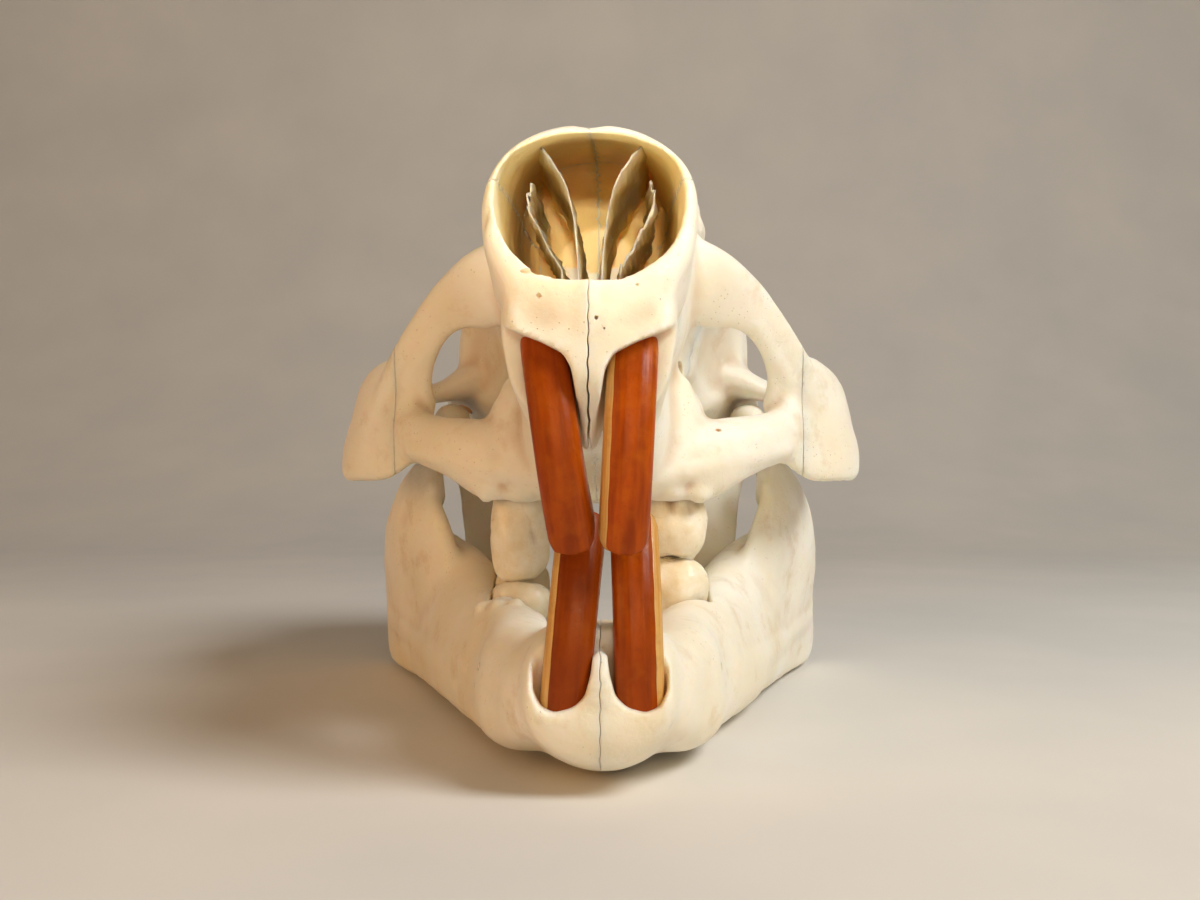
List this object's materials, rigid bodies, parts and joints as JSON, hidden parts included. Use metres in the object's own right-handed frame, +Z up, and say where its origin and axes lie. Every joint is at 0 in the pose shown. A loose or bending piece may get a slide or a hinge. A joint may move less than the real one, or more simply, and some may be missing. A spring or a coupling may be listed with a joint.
{
  "type": "porcupine skull",
  "caption": "Life-size porcupine skull with its lower jaw, jaws nearly closed, long orange front teeth, open nose and wide cheek arches, resting on the lower jaw.",
  "frame": {"origin": "on the floor under the middle of the skull's plan box", "axes": "+X to the skull's own left, +Y from the front teeth back to the back of the head, +Z up; the lower jaw rests on z = 0"},
  "size_m": [0.0728, 0.1042, 0.0715],
  "materials": {
    "bone": "dry cream bone with a faint sheen, tan in the hollows",
    "thin_bone": "thin amber bone",
    "incisor_enamel": "glossy orange enamel",
    "cheek_tooth": "cream enamel, half gloss"
  },
  "bodies": {
    "root": {"cheekbone_left": "bone", "cheekbone_right": "bone", "dentary_left": "bone", "dentary_right": "bone", "frontal_left": "bone", "frontal_right": "bone", "lower_cheek_tooth_left_1": "cheek_tooth", "lower_cheek_tooth_left_2": "cheek_tooth", "lower_cheek_tooth_left_3": "cheek_tooth", "lower_cheek_tooth_left_4": "cheek_tooth", "lower_cheek_tooth_right_1": "cheek_tooth", "lower_cheek_tooth_right_2": "cheek_tooth", "lower_cheek_tooth_right_3": "cheek_tooth", "lower_cheek_tooth_right_4": "cheek_tooth", "lower_incisor_left": "incisor_enamel", "lower_incisor_right": "incisor_enamel", "maxilla_left": "bone", "maxilla_right": "bone", "nasal_left": "bone", "nasal_right": "bone", "nasal_scroll_left": "thin_bone", "nasal_scroll_right": "thin_bone", "occipital": "bone", "parietal": "bone", "premaxilla_left": "bone", "premaxilla_right": "bone", "side_scroll_left": "thin_bone", "side_scroll_right": "thin_bone", "skull_base": "bone", "temporal_left": "bone", "temporal_right": "bone", "upper_cheek_tooth_left_1": "cheek_tooth", "upper_cheek_tooth_left_2": "cheek_tooth", "upper_cheek_tooth_left_3": "cheek_tooth", "upper_cheek_tooth_left_4": "cheek_tooth", "upper_cheek_tooth_right_1": "cheek_tooth", "upper_cheek_tooth_right_2": "cheek_tooth", "upper_cheek_tooth_right_3": "cheek_tooth", "upper_cheek_tooth_right_4": "cheek_tooth", "upper_incisor_left": "incisor_enamel", "upper_incisor_right": "incisor_enamel"}
  },
  "joints": []
}
